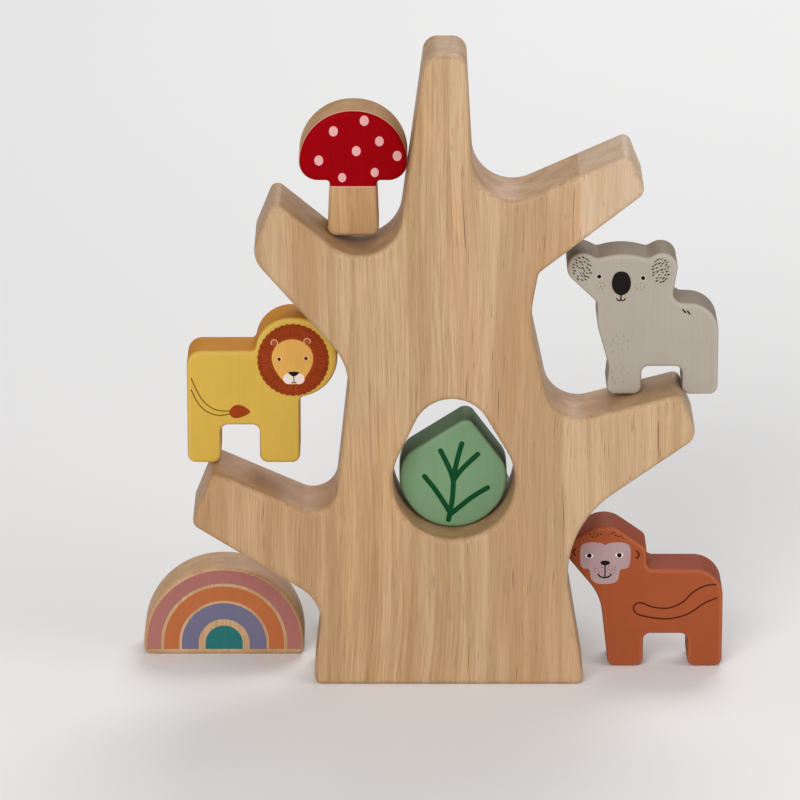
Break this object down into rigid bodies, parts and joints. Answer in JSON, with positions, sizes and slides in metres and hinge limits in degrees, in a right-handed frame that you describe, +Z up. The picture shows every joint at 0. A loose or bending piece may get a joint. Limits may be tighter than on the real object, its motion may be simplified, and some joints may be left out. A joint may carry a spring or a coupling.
{
  "type": "balance tree game",
  "caption": "Wooden tree of glued boards with stub branches and a round hole, and loose painted animal and plant blocks to balance on it.",
  "frame": {"origin": "middle of the tree's foot on the table, half way through the tree's thickness", "axes": "+Z up, +X across the tree to the right as seen from the front, +Y to the back of the tree"},
  "size_m": [0.2017, 0.0666, 0.224],
  "materials": {
    "tree_wood": "clear satin lacquer on pale edge-glued wood",
    "mushroom_paint": "matt red paint on wood, bare stem",
    "koala_paint": "matt grey paint on wood",
    "lion_paint": "matt yellow paint on wood",
    "bush_paint": "matt green paint on wood",
    "monkey_paint": "matt brown paint on wood",
    "rainbow_paint": "matt paint in bands on wood, bare edge",
    "hedgehog_paint": "matt brown paint on wood",
    "donkey_paint": "matt blue-grey paint on wood",
    "crocodile_paint": "matt green paint on wood"
  },
  "bodies": {
    "tree": {"left_trunk_board": "tree_wood", "right_trunk_board": "tree_wood", "upper_left_branch_board": "tree_wood", "lower_left_branch_board": "tree_wood", "upper_right_branch_board": "tree_wood", "lower_right_branch_board": "tree_wood"},
    "mushroom": {"mushroom_block": "mushroom_paint"},
    "koala": {"koala_block": "koala_paint"},
    "lion": {"lion_block": "lion_paint"},
    "bush": {"bush_block": "bush_paint"},
    "monkey": {"monkey_block": "monkey_paint"},
    "rainbow": {"rainbow_block": "rainbow_paint"},
    "hedgehog": {"hedgehog_block": "hedgehog_paint"},
    "donkey": {"donkey_block": "donkey_paint"},
    "crocodile": {"crocodile_block": "crocodile_paint"}
  },
  "joints": [
    {"name": "mushroom_lift", "type": "slide", "parent": "tree", "child": "mushroom", "axis": [0, 0, 1], "range_m": [0, 0.08]},
    {"name": "koala_pull", "type": "slide", "parent": "tree", "child": "koala", "axis": [0, -1, 0], "range_m": [0, 0.06]},
    {"name": "lion_pull", "type": "slide", "parent": "tree", "child": "lion", "axis": [0, -1, 0], "range_m": [0, 0.06]},
    {"name": "bush_pull", "type": "slide", "parent": "tree", "child": "bush", "axis": [0, -1, 0], "range_m": [0, 0.06]},
    {"name": "monkey_slide", "type": "slide", "parent": "tree", "child": "monkey", "axis": [0, -1, 0], "range_m": [0, 0.06]},
    {"name": "rainbow_slide", "type": "slide", "parent": "tree", "child": "rainbow", "axis": [0, -1, 0], "range_m": [0, 0.06]},
    {"name": "hedgehog_slide", "type": "slide", "parent": "tree", "child": "hedgehog", "axis": [0, 1, 0], "range_m": [0, 0.06]},
    {"name": "donkey_slide", "type": "slide", "parent": "tree", "child": "donkey", "axis": [0, 1, 0], "range_m": [0, 0.06]},
    {"name": "crocodile_lift", "type": "slide", "parent": "tree", "child": "crocodile", "axis": [0, 0, 1], "range_m": [0, 0.06]}
  ]
}
